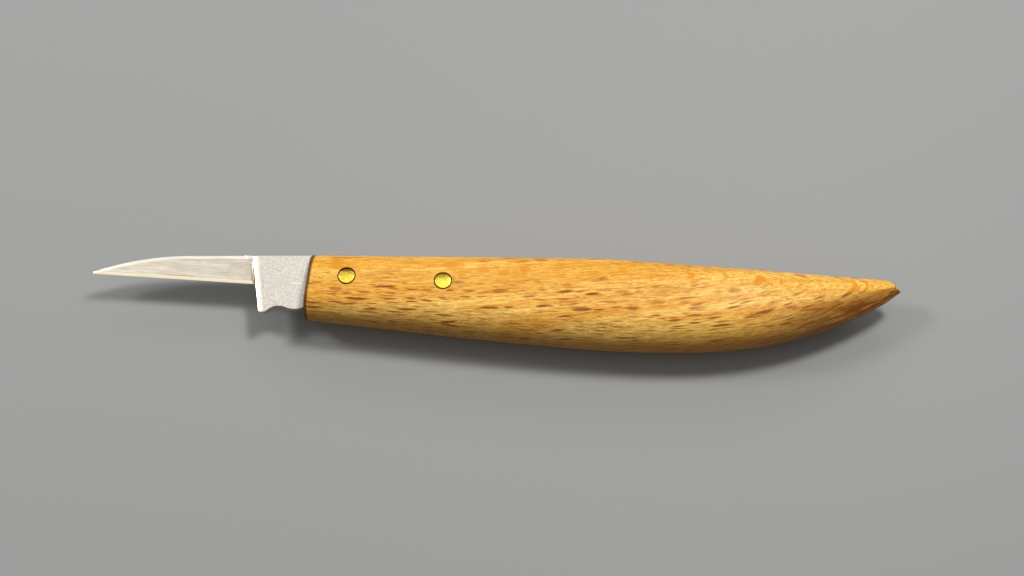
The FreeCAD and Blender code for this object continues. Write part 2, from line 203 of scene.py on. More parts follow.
def section_point(x, share):
    """Point of the handle's section at x: share 0 to 1 goes over the top, 1 to 2 under the belly."""
    crease = crease_at(x)
    start = math.asin(crease / (1.0 + crease))
    over = share <= 1.0
    turn = start + (math.pi - 2.0 * start) * (share if over else 2.0 - share)
    middle = widest_y(x)
    height = (spine_y(x) if over else belly_y(x)) - middle
    y = middle + height * ((1.0 + crease) * math.sin(turn) - crease)
    fuller = 1.0 + FULLNESS * (math.sin(2.0 * turn) ** 2 - math.sin(2.0 * start) ** 2) / 4.0
    z = half_thickness(x) * fuller * math.cos(turn) / math.cos(start)
    return y, z


def surface_z(x, y):
    """Half the handle's thickness at a place seen from above."""
    crease = crease_at(x)
    start = math.asin(crease / (1.0 + crease))
    middle = widest_y(x)
    height = (spine_y(x) if y > middle else belly_y(x)) - middle
    rise = min(1.0, ((y - middle) / height + crease) / (1.0 + crease))
    beside = rise * rise * (1.0 - rise * rise)
    fuller = 1.0 + FULLNESS * (beside - (math.sin(2.0 * start) / 2.0) ** 2)
    return half_thickness(x) * fuller * math.cos(math.asin(rise)) / math.cos(start)


# ---------------------------------------------------------------- meshes

def new_piece(name, points, faces, material, slot, *nodes):
    """A piece from drafted points, which rides on the knife's one body and stands for CAD nodes."""
    mesh = bpy.data.meshes.new(name)
    mesh.from_pydata([place(*point) for point in points], [], faces)
    mesh.materials.append(material)
    piece = bpy.data.objects.new(name, mesh)
    bpy.context.scene.collection.objects.link(piece)
    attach(piece, "root")
    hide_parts(*nodes)
    return piece


def face_outward(mesh):
    """Turns every face's normal outward."""
    shape = bmesh.new()
    shape.from_mesh(mesh)
    bmesh.ops.recalc_face_normals(shape, faces=shape.faces)
    shape.to_mesh(mesh)
    shape.free()


def finish_surface(piece, sharp_degrees):
    """Outward normals, and smooth shading that breaks at edges sharper than the angle."""
    face_outward(piece.data)
    for face in piece.data.polygons:
        face.use_smooth = True
    piece.data.set_sharp_from_angle(angle=math.radians(sharp_degrees))


def cut_away(piece, tools):
    """Cuts the tools out of the piece for good, and removes them."""
    for tool in tools:
        cut = piece.modifiers.new("cut", "BOOLEAN")
        cut.operation = "DIFFERENCE"
        cut.solver = "EXACT"
        cut.object = tool
    graph = bpy.context.evaluated_depsgraph_get()
    done = bpy.data.meshes.new_from_object(piece.evaluated_get(graph))
    piece.modifiers.clear()
    piece.data = done
    for tool in tools:
        bpy.data.objects.remove(tool)


def tool_object(name, points, faces):
    """A cutter from drafted points."""
    mesh = bpy.data.meshes.new(name)
    mesh.from_pydata([place(*point) for point in points], [], faces)
    face_outward(mesh)
    tool = bpy.data.objects.new(name, mesh)
    bpy.context.scene.collection.objects.link(tool)
    return tool


def tube_faces(rings, around, first=0):
    """Quads between rings of points, each ring closed on itself."""
    faces = []
    for ring in range(rings - 1):
        for i in range(around):
            j = (i + 1) % around
            low, high = first + ring * around, first + (ring + 1) * around
            faces.append((low + i, low + j, high + j, high + i))
    return faces


ROD_AROUND = 64


def rod_tool(name, centre, radius, reach):
    """A round cutter along Z, from reach above the middle plane to reach below it."""
    points = []
    for z in (reach, -reach):
        for i in range(ROD_AROUND):
            turn = math.tau * i / ROD_AROUND
            points.append((centre[0] + radius * math.cos(turn), centre[1] + radius * math.sin(turn), z))
    faces = tube_faces(2, ROD_AROUND)
    faces.append(tuple(range(ROD_AROUND)))
    faces.append(tuple(range(ROD_AROUND, 2 * ROD_AROUND)))
    return tool_object(name, points, faces)


def box_tool(name, low, high):
    """A box-shaped cutter between two corners."""
    corners = [(x, y, z) for x in (low[0], high[0]) for y in (low[1], high[1])
               for z in (low[2], high[2])]
    sides = [(0, 1, 3, 2), (4, 6, 7, 5), (0, 4, 5, 1), (2, 3, 7, 6), (0, 2, 6, 4), (1, 5, 7, 3)]
    return tool_object(name, corners, sides)


# ---------------------------------------------------------------- handle

HANDLE_AROUND = 176
FRONT_RINGS = 6
BODY_RINGS = 380
NOSE_RINGS = 22
CAP_SHARES = (0.25, 0.5, 0.75, 0.93)
BROAD_WEAR = 0.035          # mean depths of the wide and the small unevenness
SMALL_WEAR = 0.008
FLUSH_FROM_Z = 1.2          # beside the kerf the wood is unworn, flush with the steel
FLUSH_TO_Z = 4.0


def hand_worn(x, y, z):
    """How far the hand-shaped surface lies below the drafted form."""
    broad = noise.noise(Vector((x / 17.0, y / 6.0, z / 6.0)))
    small = noise.noise(Vector((x / 5.0 + 40.0, y / 2.5, z / 2.5)))
    return BROAD_WEAR * (1.0 + broad) + SMALL_WEAR * (1.0 + small)


def front_shift(along, y):
    """How far a point of the ring at along lies behind it, from the front's slant and top corner."""
    slant = math.tan(FRONT_SLANT) * (1.0 - blend_step(0.0, FRONT_SLANT_RUN, along))
    high = blend_step(TOP_FORWARD_FROM_Y, TOP_FORWARD_FULL_Y, y)
    return slant * y - TOP_FORWARD * high * blend_step(TOP_FORWARD_RUN, 0.0, along)


def handle_ring(along, inset):
    """One ring of the handle's skin, along millimetres behind the slanted front."""
    ring = []
    for i in range(HANDLE_AROUND):
        share = 2.0 * i / HANDLE_AROUND
        x = along
        for _ in range(3):
            y, z = section_point(x, share)
            x = along + front_shift(along, y)
        middle = widest_y(x)
        height = (spine_y(x) if share <= 1.0 else belly_y(x)) - middle
        outward = Vector((0.0, (y - middle) / height ** 2, z / half_thickness(x) ** 2)).normalized()
        at_kerf = KERF_LENGTH > x and y > middle
        worn = blend_step(FLUSH_FROM_Z, FLUSH_TO_Z, abs(z)) if at_kerf else 1.0
        sink = inset + hand_worn(x, y, z) * worn
        ring.append(Vector((x, y, z)) - outward * sink)
    return ring


def handle_stations():
    """Rings behind the front, close together where the form turns: along, and inset."""
    stations = []
    for step in range(FRONT_RINGS + 1):
        turn = math.pi / 2 * step / FRONT_RINGS
        stations.append((FRONT_ROUND * (1.0 - math.cos(turn)), FRONT_ROUND * (1.0 - math.sin(turn))))
    for step in range(1, BODY_RINGS + 1):
        stations.append((lerp(FRONT_ROUND, NOSE_X, step / BODY_RINGS), 0.0))
    for step in range(1, NOSE_RINGS):
        turn = math.pi / 2 * step / NOSE_RINGS
        stations.append((NOSE_X + (LENGTH - NOSE_X) * math.sin(turn), 0.0))
    return stations


def handle_tools():
    """Cutters for the kerf and the pin holes."""
    low = (KERF_TOOL_FRONT_X, KERF_FLOOR_Y, -KERF_HALF)
    tools = [box_tool("kerf_tool", low, (KERF_LENGTH, KERF_TOOL_TOP_Y, KERF_HALF))]
    for name, centre in PIN_PLACES.items():
        tools.append(rod_tool(name + "_tool", centre, PIN_RADIUS, PIN_TOOL_REACH))
    return tools


def make_handle(material):
    """The carved handle as rings from the front to the nose, with its kerf and pin holes cut."""
    rings = [handle_ring(along, inset) for along, inset in handle_stations()]
    front = rings[0]
    centre = sum(front, Vector()) / len(front)
    caps = [[centre.lerp(point, share) for point in front] for share in CAP_SHARES]
    rings = caps + rings
    points = [point for ring in rings for point in ring]
    faces = tube_faces(len(rings), HANDLE_AROUND)
    first, last = len(points), len(points) + 1
    points += [centre, Vector((LENGTH, NOSE_Y, 0.0))]
    tail = (len(rings) - 1) * HANDLE_AROUND
    for i in range(HANDLE_AROUND):
        j = (i + 1) % HANDLE_AROUND
        faces.append((first, j, i))
        faces.append((last, tail + i, tail + j))
    handle = new_piece("carved_handle", points, faces, material, "handle_beech", "handle")
    finish_surface(handle, NEVER_SHARP)
    cut_away(handle, handle_tools())
    handle.data.set_sharp_from_angle(angle=math.radians(WOOD_SHARP))


# ---------------------------------------------------------------- blade

def shoulder_x(y):
    """The shoulder's line, which the ricasso's front continues."""
    return SHOULDER.x + (SHOULDER.y - y) * math.tan(SHOULDER_LEAN)


HEEL = Vector((shoulder_x(HEEL_Y), HEEL_Y))
ALONG_EDGE = (HEEL - TIP).normalized()
UP_FROM_EDGE = Vector((-ALONG_EDGE.y, ALONG_EDGE.x))
FILLET_START = HEEL - ALONG_EDGE * HEEL_FILLET
FILLET_END = Vector((shoulder_x(HEEL_Y - HEEL_FILLET), HEEL_Y - HEEL_FILLET))
SPINE_CENTRE = Vector((ARC_START_X, SPINE_LINE - SPINE_RADIUS))


def blade_spine_y(x):
    """Height of the blade's spine: straight, and an arc down to the point."""
    if x > ARC_START_X:
        return SPINE_LINE
    rise = math.sqrt(SPINE_RADIUS ** 2 - (x - SPINE_CENTRE.x) ** 2)
    return max(SPINE_CENTRE.y + rise, TIP_HIGH_Y)


def behind_shoulder(x, y):
    """Distance behind the shoulder's line, negative on the ground blade."""
    return (x - shoulder_x(y)) * math.cos(SHOULDER_LEAN)


def shoulder_bend(y):
    """How far the step leaves the shoulder's line where it bends into the spine."""
    share = blend_step(SHOULDER_BEND_LOW_Y, SHOULDER_BEND_HIGH_Y, y)
    return SHOULDER_BEND * share ** SHOULDER_BEND_EASE


def ground_half(x, y):
    """Half the thickness of the ground blade: edge bevel, long face, and the spine's bevel."""
    rise = (Vector((x, y)) - TIP).dot(UP_FROM_EDGE)
    slope = (GROUND_HIGH_HALF - GROUND_LOW_HALF) / (SPINE_LINE - HEEL_Y - EDGE_BEVEL)
    bevel = EDGE_HALF + (GROUND_LOW_HALF - EDGE_HALF) * max(0.0, rise) / EDGE_BEVEL
    face = GROUND_LOW_HALF + slope * (rise - EDGE_BEVEL)
    under = blade_spine_y(x) - y
    spine = face - SPINE_BEVEL_DROP * max(0.0, SPINE_BEVEL - under) / SPINE_BEVEL
    half = max(EDGE_HALF, min(bevel, spine))
    blunt = blend_step(-HEEL_BLUNT_LENGTH, 0.0, behind_shoulder(x, y)) * blend_step(0.5, -0.4, rise)
    return max(half, lerp(EDGE_HALF, HEEL_HALF, blunt))


def steel_half(x, y, rim):
    """Half the steel's thickness at a place, rim millimetres inside its outline."""
    behind = behind_shoulder(x, y)
    ramp_share = min(1.0, max(0.0, behind / RAMP_LENGTH))
    half = STOCK_HALF - RAMP_DROP * (1.0 - ramp_share) ** RAMP_EASE
    step = shoulder_bend(y) + behind + STEP_WAVER * noise.noise(Vector((y / 1.1, 3.0, 0.0)))
    raised = blend_step(STEP_FROM, STEP_TO, step) ** STEP_EASE
    if behind < GRINDING_END:
        half = lerp(ground_half(x, y), half, raised)
    inside = x - y * math.tan(FRONT_SLANT)
    half = lerp(half, min(half, TANG_HALF), blend_step(0.02, 0.1, inside))
    if rim < STEEL_ROUND:
        corner = STEEL_ROUND - math.sqrt(STEEL_ROUND ** 2 - (STEEL_ROUND - rim) ** 2)
        half -= corner * raised
    waver = STEEL_WAVER * (1.0 + noise.noise(Vector((x / 3.0, y / 2.0, 7.0))))
    half -= waver * min(1.0, half / GROUND_LOW_HALF)
    return max(EDGE_HALF * 0.5, half)


def arc_points(start, end, radius, count):
    """Points from start to just before end on an arc that bulges to the left for a plus radius."""
    chord = end - start
    left = Vector((-chord.y, chord.x)).normalized()
    sagitta = abs(radius) - math.sqrt(radius ** 2 - chord.length_squared / 4.0)
    reach = math.copysign(abs(radius) - sagitta, radius)
    centre = (start + end) / 2.0 - left * reach
    first = math.atan2(*(start - centre).yx)
    sweep = (math.atan2(*(end - centre).yx) - first + math.pi) % math.tau - math.pi
    turns = [first + sweep * i / count for i in range(count)]
    return [centre + Vector((math.cos(turn), math.sin(turn))) * abs(radius) for turn in turns]


def ricasso_underside():
    """The ricasso's lower outline from its front corner to the handle, as arcs and a line."""
    corner = Vector((shoulder_x(-5.1), -5.1))
    lobe, hollow = Vector((-10.7, -5.8)), Vector((-9.3, -5.35))
    rise, rear = Vector((-5.4, -4.6)), Vector((-1.4, -4.8))
    points = arc_points(corner, lobe, -0.75, 8)
    points += arc_points(lobe, hollow, -2.0, 8)
    points += arc_points(hollow, rise, 3.6, 22)
    points += arc_points(rise, rear, -5.0, 20)
    last_count = 8
    points += [rear.lerp(TANG_LOW, i / last_count) for i in range(last_count)]
    return points


GROUND_COLUMNS = 170
HEEL_CROWDING = 1.15        # above 1, the ground blade's columns stand closer towards the heel
HEEL_COLUMNS = 16
TANG_COLUMNS = 60
NEAR_OUTLINE = (0.0, 0.1, 0.25, 0.45, 0.7)
MIDDLE_ROWS = 26
LOWER_ROWS = (0.0, 0.004, 0.01, 0.02, 0.05, 0.1, 0.2, 0.3, 0.4, 0.5, 0.6, 0.7, 0.8, 0.9, 0.96)


def column_points(foot, head):
    """Places from foot to head, close together in the bevels near both ends."""
    height = (head - foot).length
    low = min(EDGE_BEVEL, 0.4 * height)
    high = height - min(SPINE_BEVEL, 0.4 * height)
    places = [low * share for share in NEAR_OUTLINE]
    places += [lerp(low, high, i / MIDDLE_ROWS) for i in range(MIDDLE_ROWS)]
    places += [lerp(height, high, share) for share in reversed(NEAR_OUTLINE)]
    return [foot.lerp(head, where / height) for where in places]


def ground_feet():
    """Places along the edge from the point to the heel, and round the fillet at the heel."""
    feet = []
    for step in range(GROUND_COLUMNS):
        share = 1.0 - (1.0 - step / GROUND_COLUMNS) ** HEEL_CROWDING
        feet.append(TIP.lerp(FILLET_START, share))
    return feet + arc_points(FILLET_START, FILLET_END, HEEL_FILLET, HEEL_COLUMNS)


def ground_columns():
    """Columns of (x, y, rim) on the ground blade, from the edge up to the spine."""
    columns = []
    for foot in ground_feet():
        run = (foot.x - TIP.x) / (FILLET_END.x - TIP.x)
        head_x = lerp(TIP.x, shoulder_x(SPINE_LINE), run)
        head = Vector((head_x, blade_spine_y(head_x)))
        columns.append([(*point, STEEL_ROUND) for point in column_points(foot, head)])
    return columns


def feet_and_heads():
    """Ends of the columns behind the shoulder: across the ricasso, and along the tang."""
    underside = ricasso_underside()
    handle_top = spine_y(0.0) * math.tan(FRONT_SLANT)
    pairs = []
    for index, foot in enumerate(underside):
        head_x = lerp(shoulder_x(SPINE_LINE), handle_top, index / len(underside))
        pairs.append((foot, Vector((head_x, SPINE_LINE))))
    for step in range(TANG_COLUMNS + 1):
        share = step / TANG_COLUMNS
        head_x = lerp(handle_top, TANG_LENGTH, share)
        foot = TANG_LOW.lerp(Vector((TANG_LENGTH, TANG_END_Y)), share)
        pairs.append((foot, Vector((head_x, spine_y(head_x)))))
    return pairs


def full_columns():
    """Columns of (x, y, rim) behind the shoulder, which also have the rows under the heel."""
    columns = []
    for foot, head in feet_and_heads():
        split = foot.lerp(head, (FILLET_END.y - foot.y) / (head.y - foot.y))
        lower = [foot.lerp(split, share) for share in LOWER_ROWS]
        column = []
        for point in lower + column_points(split, head):
            rim = min((point - foot).length, (head - point).length)
            if point.y < FILLET_END.y:
                rim = min(rim, abs(behind_shoulder(*point)))
            column.append((*point, rim))
        columns.append(column)
    return columns


def column_faces(numbers):
    """Quads between neighbouring columns. A long column meets a short one with its upper rows."""
    faces = []
    for a, b in zip(numbers, numbers[1:]):
        rows = min(len(a), len(b))
        upper_a, upper_b = a[-rows:], b[-rows:]
        for i in range(rows - 1):
            faces.append((upper_a[i], upper_a[i + 1], upper_b[i + 1], upper_b[i]))
    return faces


def open_edges(faces):
    """Edges that only one face has."""
    found = {}
    for face in faces:
        for a, b in zip(face, face[1:] + face[:1]):
            if (b, a) in found:
                del found[(b, a)]
            else:
                found[(a, b)] = True
    return list(found)


def make_blade(material):
    """Both faces of the steel as height fields over its outline, with walls between them."""
    points, numbers = [], []
    for column in ground_columns() + full_columns():
        numbers.append(list(range(len(points), len(points) + len(column))))
        points += [(x, y, steel_half(x, y, rim)) for x, y, rim in column]
    count = len(points)
    upper = column_faces(numbers)
    lower = [tuple(i + count for i in reversed(face)) for face in upper]
    walls = [(b, a, a + count, b + count) for a, b in open_edges(upper)]
    points += [(x, y, -z) for x, y, z in points]
    blade = new_piece("ground_blade", points, upper + lower + walls, material, "blade_steel", "blade")
    finish_surface(blade, NEVER_SHARP)
    tools = []
    for name, centre in PIN_PLACES.items():
        tools.append(rod_tool(name + "_hole", centre, TANG_HOLE_RADIUS, TANG_TOOL_REACH))
    cut_away(blade, tools)
    blade.data.set_sharp_from_angle(angle=math.radians(STEEL_SHARP))


# ---------------------------------------------------------------- pins

PIN_AROUND = 72
PIN_RINGS = (0.1, 0.2, 0.3, 0.4, 0.5, 0.6, 0.7, 0.78, 0.85, 0.9, 0.94, 0.97, 0.985, 1.0)
PIN_PROUD = 0.05            # how far a pin's middle stands out of the wood
PIN_RIPPLE = 0.012
PIN_RIM_SHARE = 0.9         # where the broken rim begins
PIN_RIM_FALL = 1.4
# Where the file has left a flat: the chord's distance from the middle towards the spine, and how
# far the flat falls per millimetre beyond it.
PIN_FLATS = {"front_pin": (0.95, 0.22), "rear_pin": (1.35, 0.12)}


def pin_face(name, x, y, radius, side):
    """Height of the pin's filed end at a place."""
    chord, fall = PIN_FLATS[name]
    beyond = y - PIN_PLACES[name][1] - chord
    share = radius / PIN_RADIUS
    proud = PIN_PROUD * (1.0 - share ** 4) - PIN_RIM_FALL * max(0.0, share - PIN_RIM_SHARE)
    ripple = PIN_RIPPLE * noise.noise(Vector((x / 0.5, y / 0.5, side * 9.0)))
    return surface_z(x, y) + proud + ripple - fall * max(0.0, beyond)


def make_pin(name, material):
    """A brass rod with both ends filed to the handle's form and its rims broken."""
    centre = PIN_PLACES[name]
    points, faces = [], []
    for side in (1.0, -1.0):
        first = len(points)
        points.append((centre[0], centre[1], side * pin_face(name, *centre, 0.0, side)))
        for share in PIN_RINGS:
            radius = PIN_RADIUS * share
            for i in range(PIN_AROUND):
                turn = math.tau * i / PIN_AROUND
                x, y = centre[0] + radius * math.cos(turn), centre[1] + radius * math.sin(turn)
                points.append((x, y, side * pin_face(name, x, y, radius, side)))
        for i in range(PIN_AROUND):
            j = (i + 1) % PIN_AROUND
            faces.append((first, first + 1 + i, first + 1 + j))
        faces += tube_faces(len(PIN_RINGS), PIN_AROUND, first + 1)
    half_count = len(points) // 2
    rim = half_count - PIN_AROUND
    for i in range(PIN_AROUND):
        j = (i + 1) % PIN_AROUND
        faces.append((rim + i, rim + j, rim + half_count + j, rim + half_count + i))
    pin = new_piece("filed_" + name, points, faces, material, "pin_brass", name)
    finish_surface(pin, BRASS_SHARP)


# ---------------------------------------------------------------- node helpers

class Wiring:
    """A new material, and short calls that add nodes to it and return their outputs."""

    def __init__(self, name):
        self.material = bpy.data.materials.new(name)
        self.material.use_nodes = True
        self.tree = self.material.node_tree
        self.tree.nodes.clear()
        self.shader = self.tree.nodes.new("ShaderNodeBsdfPrincipled")
        output = self.tree.nodes.new("ShaderNodeOutputMaterial")
        self.tree.links.new(self.shader.outputs[0], output.inputs[0])

    def node(self, kind, inputs, output=0, **settings):
        """inputs is a dict of input names or numbers, with values or other nodes' outputs."""
        made = self.tree.nodes.new("ShaderNode" + kind)
        for name, value in settings.items():
            setattr(made, name, value)
        for name, value in inputs.items():
            self.feed(made.inputs[name], value)
        return made.outputs[output]

    def feed(self, socket, value):
        if isinstance(value, bpy.types.NodeSocket):
            self.tree.links.new(value, socket)
        else:
            socket.default_value = value

    def set(self, **inputs):
        """Feeds the shader's sockets, named with underscores for spaces."""
        for name, value in inputs.items():
            self.feed(self.shader.inputs[name.replace("_", " ")], value)

    def drafted(self):
        """Position in the drafting frame, in millimetres."""
        where = self.node("TexCoord", {}, "Object")
        return self.inside(where, tuple(DRAFT_ORIGIN), (MM, MM, MM))

    def inside(self, vector, centre, sizes, degrees=0.0):
        """Position relative to a centre, turned about Z, in units of sizes."""
        inputs = {"Vector": vector, "Location": centre, "Scale": sizes,
                  "Rotation": (0.0, 0.0, math.radians(degrees))}
        return self.node("Mapping", inputs, vector_type="TEXTURE")

    def turned(self, vector, degrees):
        turns = tuple(math.radians(value) for value in degrees)
        return self.node("Mapping", {"Vector": vector, "Rotation": turns})

    def part(self, vector, axis):
        return self.node("SeparateXYZ", {"Vector": vector}, axis)

    def math(self, operation, a, b=0.0):
        return self.node("Math", {0: a, 1: b}, operation=operation)

    def mul(self, a, b):
        return self.math("MULTIPLY", a, b)

    def add(self, a, b):
        return self.math("ADD", a, b)

    def noise(self, vector, sizes, detail=2.0, roughness=0.5, output=0, offset=(0.0, 0.0, 0.0)):
        """Noise whose features are about sizes large, in millimetres."""
        moved = self.inside(vector, offset, sizes)
        inputs = {"Vector": moved, "Scale": 1.0, "Detail": detail, "Roughness": roughness}
        return self.node("TexNoise", inputs, output)

    def rise(self, value, low, high, bottom=0.0, top=1.0):
        """bottom below low, top above high, smooth between. low may be above high."""
        inputs = {"Value": value, "From Min": low, "From Max": high, "To Min": bottom, "To Max": top}
        return self.node("MapRange", inputs, interpolation_type="SMOOTHSTEP")

    def mix(self, share, a, b):
        return self.node("MixRGB", {"Fac": share, "Color1": a, "Color2": b})

    def dot(self, vector, direction):
        inputs = {0: vector, 1: direction}
        return self.node("VectorMath", inputs, "Value", operation="DOT_PRODUCT")

    def length(self, vector):
        return self.node("VectorMath", {0: vector}, "Value", operation="LENGTH")

    def shifted(self, vector, other, amount):
        """vector moved by another vector output times amount."""
        scaled = self.node("VectorMath", {0: other, "Scale": amount}, operation="SCALE")
        return self.node("VectorMath", {0: vector, 1: scaled}, operation="ADD")

    def spot(self, vector, x, y, half_length, half_height, degrees=0.0, core=0.55):
        """1 in the core of an oval seen from above and 0 outside it."""
        sizes = (half_length, half_height, FAR)
        return self.rise(self.length(self.inside(vector, (x, y, 0.0), sizes, degrees)), 1.0, core)

    def most(self, values):
        """The greatest of several values."""
        result = values[0]
        for value in values[1:]:
            result = self.math("MAXIMUM", result, value)
        return result

    def bump(self, height, depth, strength=1.0, under=None):
        """A bump whose full height is depth millimetres."""
        inputs = {"Height": height, "Distance": depth * MM, "Strength": strength}
        if under is not None:
            inputs["Normal"] = under
        return self.node("Bump", inputs)


def colour(red, green, blue):
    """A colour given as it looks on a screen, 0 to 255, as the linear values that nodes take."""
    values = []
    for level in (red, green, blue):
        share = level / 255.0
        values.append(share / 12.92 if share <= 0.04045 else ((share + 0.055) / 1.055) ** 2.4)
    return (*values, 1.0)


# ---------------------------------------------------------------- beech

FAR = 1.0e4             # a size so large that a pattern doesn't change along that axis
RAY_TILT = 22.0         # degrees from straight up to the direction that looks along the rings

# Rays that stand out on the upper side: x, y, half length, half height, degrees, strength.
STRONG_RAYS = (
    (18.2, -1.1, 2.8, 0.32, 1.0, 1.0), (24.5, -1.9, 1.4, 0.22, 2.0, 0.8),
    (22.6, -0.4, 0.8, 0.2, 2.0, 0.6), (32.8, -2.2, 1.1, 0.25, 0.0, 0.9),
    (34.4, -0.3, 1.7, 0.45, 2.0, 0.5), (19.4, -4.0, 1.8, 0.2, 0.0, 0.8),
    (10.2, -4.8, 1.9, 0.2, 1.0, 0.8), (6.6, -2.6, 1.3, 0.2, 1.0, 0.5),
    (13.0, -3.8, 1.5, 0.2, 1.0, 0.6), (14.9, -5.9, 1.5, 0.17, 0.0, 0.9),
    (31.0, -3.9, 1.0, 0.25, 2.0, 0.7), (32.8, -8.7, 1.8, 0.2, 0.0, 0.9),
    (43.7, -2.5, 2.0, 0.5, 2.0, 0.6), (50.4, -3.8, 1.7, 0.27, 3.0, 0.75),
    (58.4, -2.7, 2.0, 0.42, 7.0, 0.95), (64.4, -3.3, 1.9, 0.36, 4.0, 1.0),
    (71.0, -2.8, 1.9, 0.36, 4.0, 0.45), (75.0, -2.9, 1.2, 0.32, 3.0, 0.4),
    (67.0, 0.3, 1.2, 0.55, 5.0, 0.6), (45.9, -6.2, 1.2, 0.22, 2.0, 0.8),
    (68.8, -5.2, 1.6, 0.22, 4.0, 0.6), (60.8, -6.3, 1.5, 0.2, 3.0, 0.5),
    (96.1, -2.4, 1.5, 0.5, 3.0, 0.5), (108.8, -5.9, 1.4, 0.22, 9.0, 0.7),
    (114.2, -6.1, 3.9, 0.2, 8.0, 0.75), (102.4, -7.3, 1.2, 0.25, 3.0, 0.6),
    (107.6, -9.4, 1.7, 0.25, 8.0, 0.7), (56.4, -10.9, 1.5, 0.2, 2.0, 0.8),
)
# A ray's soft oval is drawn larger than listed, since only its middle is dark, and all of them are
# moved this far towards the front and the belly.
STRONG_RAY_GROWTH = (1.25, 1.35)
STRONG_RAY_SHIFT = (0.2, 0.6, 0.0)
# Outer radius of the dark ring in the wood round a pin.
PIN_RING_RADIUS = 1.06 * (PIN_RADIUS + 0.03)


def beech_grain(w, place_mm):
    """Position along the fibres, out from the tree's middle, and across the rays, wandering."""
    x = w.part(place_mm, 0)
    climb = w.mul(w.mul(x, x), -0.0006)
    lifted = w.shifted(place_mm, (0.0, 1.0, 0.0), climb)
    leaning = w.turned(lifted, (RAY_TILT, 0.0, 0.0))
    wander = w.noise(leaning, (26.0, 10.0, 10.0), 2.0, 0.5, "Color")
    return w.shifted(leaning, wander, 0.55)


def ray_layer(w, grain, sizes, least, most, offset):
    """Flat rays as thin lens-shaped sheets: 1 inside one, and a random tone for each."""
    frayed = w.shifted(grain, w.noise(grain, (0.9, 2.0, 0.5), 1.0, 0.5, "Color"), 0.12)
    cell = {"Vector": w.inside(frayed, offset, sizes), "Scale": 1.0}
    distance = w.node("TexVoronoi", cell, "Distance")
    tone = w.part(w.node("TexVoronoi", cell, "Color"), 0)
    reach = w.rise(tone, 0.15, 1.0, least, most)
    return w.rise(distance, reach, w.mul(reach, 0.5)), tone


def strong_rays(w, place_mm, facing):
    """The rays of the list, on the upper side only."""
    frayed = w.shifted(place_mm, w.noise(place_mm, (0.8, 0.5, 1.0), 1.0, 0.5, "Color"), 0.22)
    moved = w.node("VectorMath", {0: frayed, 1: STRONG_RAY_SHIFT}, operation="ADD")
    longer, higher = STRONG_RAY_GROWTH
    marks = []
    for x, y, half_length, half_height, degrees, strength in STRONG_RAYS:
        mark = w.spot(moved, x, y, longer * half_length, higher * half_height, degrees, 0.4)
        marks.append(w.mul(mark, strength))
    return w.mul(w.most(marks), w.rise(w.part(facing, 2), 0.05, 0.2))


def beech_ground(w, grain, flat_cut):
    """Honey ground with clouds, rings, fibres, waves and pores: its colour, the fibres, the pores."""
    clouds = w.noise(grain, (60.0, 6.0, 4.0))
    rings = w.noise(grain, (70.0, 1.7, 12.0), 1.0, 0.4)
    fibres = w.noise(grain, (7.0, 0.45, 0.3), 3.0, 0.65)
    waves = w.noise(grain, (4.4, 0.5, 0.22), 2.0, 0.6, offset=(4.0, 1.0, 2.0))
    pores = w.noise(grain, (1.5, 0.14, 0.10), 1.0, 0.5)
    wood = w.mix(w.rise(clouds, 0.3, 0.7), colour(236, 184, 80), colour(248, 204, 108))
    wood = w.mix(w.mul(w.rise(rings, 0.47, 0.6), 0.5), wood, colour(220, 150, 46))
    wood = w.mix(w.mul(w.rise(fibres, 0.42, 0.66), 0.6), wood, colour(190, 116, 26))
    waving = w.mul(w.rise(waves, 0.5, 0.68), w.rise(flat_cut, 0.0, 1.0, 0.3, 0.6))
    wood = w.mix(waving, wood, colour(168, 94, 16))
    wood = w.mix(w.mul(w.rise(pores, 0.53, 0.68), 0.48), wood, colour(138, 76, 12))
    return wood, fibres, pores


def beech_rays(w, grain, flat_cut, wood):
    """Patches where the rays lie in the surface and dashes where it cuts them: colour, and depth."""
    figure = w.noise(grain, (0.9, 1.0, 2.4), 2.0, 0.5, offset=(2.0, 3.0, 8.0))
    patches = w.mul(w.rise(figure, 0.53, 0.62), w.rise(flat_cut, 1.0, 0.0, 0.0, 0.6))
    wood = w.mix(patches, wood, colour(218, 146, 30))
    ray_colour = w.mix(flat_cut, colour(208, 132, 24), colour(128, 62, 10))
    fine, fine_tone = ray_layer(w, grain, (4.2, 7.0, 0.32), 0.12, 0.46, (7.7, 5.0, 2.0))
    middling, middling_tone = ray_layer(w, grain, (6.6, 9.0, 0.50), 0.06, 0.38, (1.3, 2.0, 4.0))
    broad, broad_tone = ray_layer(w, grain, (10.0, 13.0, 0.90), 0.03, 0.32, (3.1, 1.0, 6.0))
    wood = w.mix(w.mul(fine, w.rise(fine_tone, 0.0, 1.0, 0.25, 0.85)), wood, ray_colour)
    wood = w.mix(w.mul(middling, w.rise(middling_tone, 0.0, 1.0, 0.15, 0.75)), wood, ray_colour)
    wood = w.mix(w.mul(broad, w.rise(broad_tone, 0.0, 1.0, 0.1, 0.9)), wood, ray_colour)
    return wood, w.most([broad, middling])


